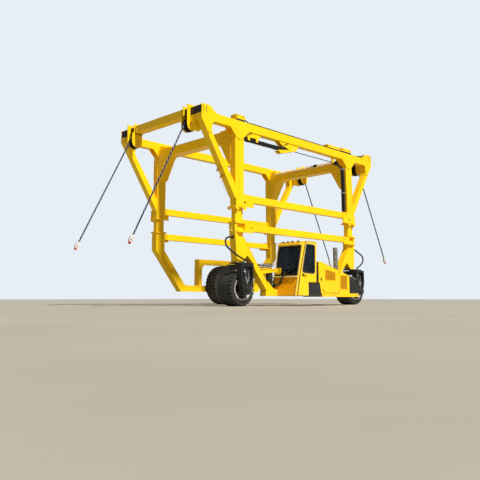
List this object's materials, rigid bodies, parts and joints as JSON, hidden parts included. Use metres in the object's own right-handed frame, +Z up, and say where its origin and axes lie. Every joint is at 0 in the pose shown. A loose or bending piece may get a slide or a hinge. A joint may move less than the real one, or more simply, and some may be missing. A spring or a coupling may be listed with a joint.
{
  "type": "mobile container gantry crane",
  "caption": "Self-propelled rubber-tyred container gantry with a telescoping lifting frame, outboard chain beams, side cab, steered fork wheels and a large far-side wheel.",
  "frame": {"origin": "on the ground under the middle of the machine", "axes": "+X along the side frames towards the engine end, the cab looks towards -X, -Y is the cab side, +Z up"},
  "size_m": [12.4078, 4.78, 5.7],
  "materials": {
    "yellow_paint": "gloss machine paint",
    "dark_paint": "satin dark grey",
    "black_steel": "black, greased",
    "rim_paint": "silver",
    "chain_steel": "oiled steel",
    "tyre": "dusty rubber",
    "rubber": "matt",
    "tinted_glass": "tinted"
  },
  "bodies": {
    "chassis": {"inner_legs": "yellow_paint", "near_lower_frame": "yellow_paint", "far_lower_frame": "yellow_paint", "lower_tie_beams": "yellow_paint", "steering_bearings": "dark_paint", "far_axle": "dark_paint", "cab_shell": "yellow_paint", "cab_glass": "tinted_glass", "roof_lamps": "yellow_paint", "wiper": "rubber", "engine_hood": "yellow_paint", "cab_step": "dark_paint", "end_panel": "dark_paint", "bumper_beam": "yellow_paint", "exhaust_stack": "chain_steel", "valve_shelf": "yellow_paint", "hydraulic_tank": "dark_paint", "left_hose": "rubber", "right_hose": "rubber"},
    "lift_frame": {"near_top_beam": "yellow_paint", "far_top_beam": "yellow_paint", "near_upper_legs": "yellow_paint", "far_upper_legs": "yellow_paint", "near_struts": "yellow_paint", "far_struts": "yellow_paint", "cross_beams": "yellow_paint", "chain_beams": "yellow_paint", "slide_bars": "black_steel", "upper_tie_beams": "yellow_paint", "sheave_housings": "yellow_paint", "sheaves": "black_steel", "lifting_chains": "chain_steel", "hoist_cylinder": "black_steel", "top_valve_boxes": "yellow_paint"},
    "left_steer": {"left_fork": "dark_paint"},
    "left_wheel": {"left_rim": "rim_paint", "left_tyre": "tyre"},
    "right_steer": {"right_fork": "dark_paint"},
    "right_wheel": {"right_rim": "rim_paint", "right_tyre": "tyre"},
    "far_wheel": {"far_rim": "rim_paint", "far_tyre": "tyre"},
    "cab_side_door": {"cab_door": "yellow_paint", "door_glass": "tinted_glass"}
  },
  "joints": [
    {"name": "frame_lift", "type": "slide", "parent": "chassis", "child": "lift_frame", "axis": [0, 0, 1], "range_m": [-0.4, 1.2]},
    {"name": "left_steering", "type": "hinge", "parent": "chassis", "child": "left_steer", "pos_m": [-2.67, -1.5, 1.15], "axis": [0, 0, 1], "range_deg": [-40, 40]},
    {"name": "left_wheel_spin", "type": "hinge", "parent": "left_steer", "child": "left_wheel", "pos_m": [-2.67, -1.29, 0.5], "axis": [0, 1, 0], "continuous": true},
    {"name": "right_steering", "type": "hinge", "parent": "chassis", "child": "right_steer", "pos_m": [3.11, -1.5, 1.15], "axis": [0, 0, 1], "range_deg": [-40, 40]},
    {"name": "right_wheel_spin", "type": "hinge", "parent": "right_steer", "child": "right_wheel", "pos_m": [3.11, -1.29, 0.5], "axis": [0, 1, 0], "continuous": true},
    {"name": "far_wheel_spin", "type": "hinge", "parent": "chassis", "child": "far_wheel", "pos_m": [0, 2, 0.69], "axis": [0, 1, 0], "continuous": true},
    {"name": "cab_door_hinge", "type": "hinge", "parent": "chassis", "child": "cab_side_door", "pos_m": [-0.215, -2.39, 1], "axis": [0, 0, 1], "range_deg": [0, 95]}
  ]
}
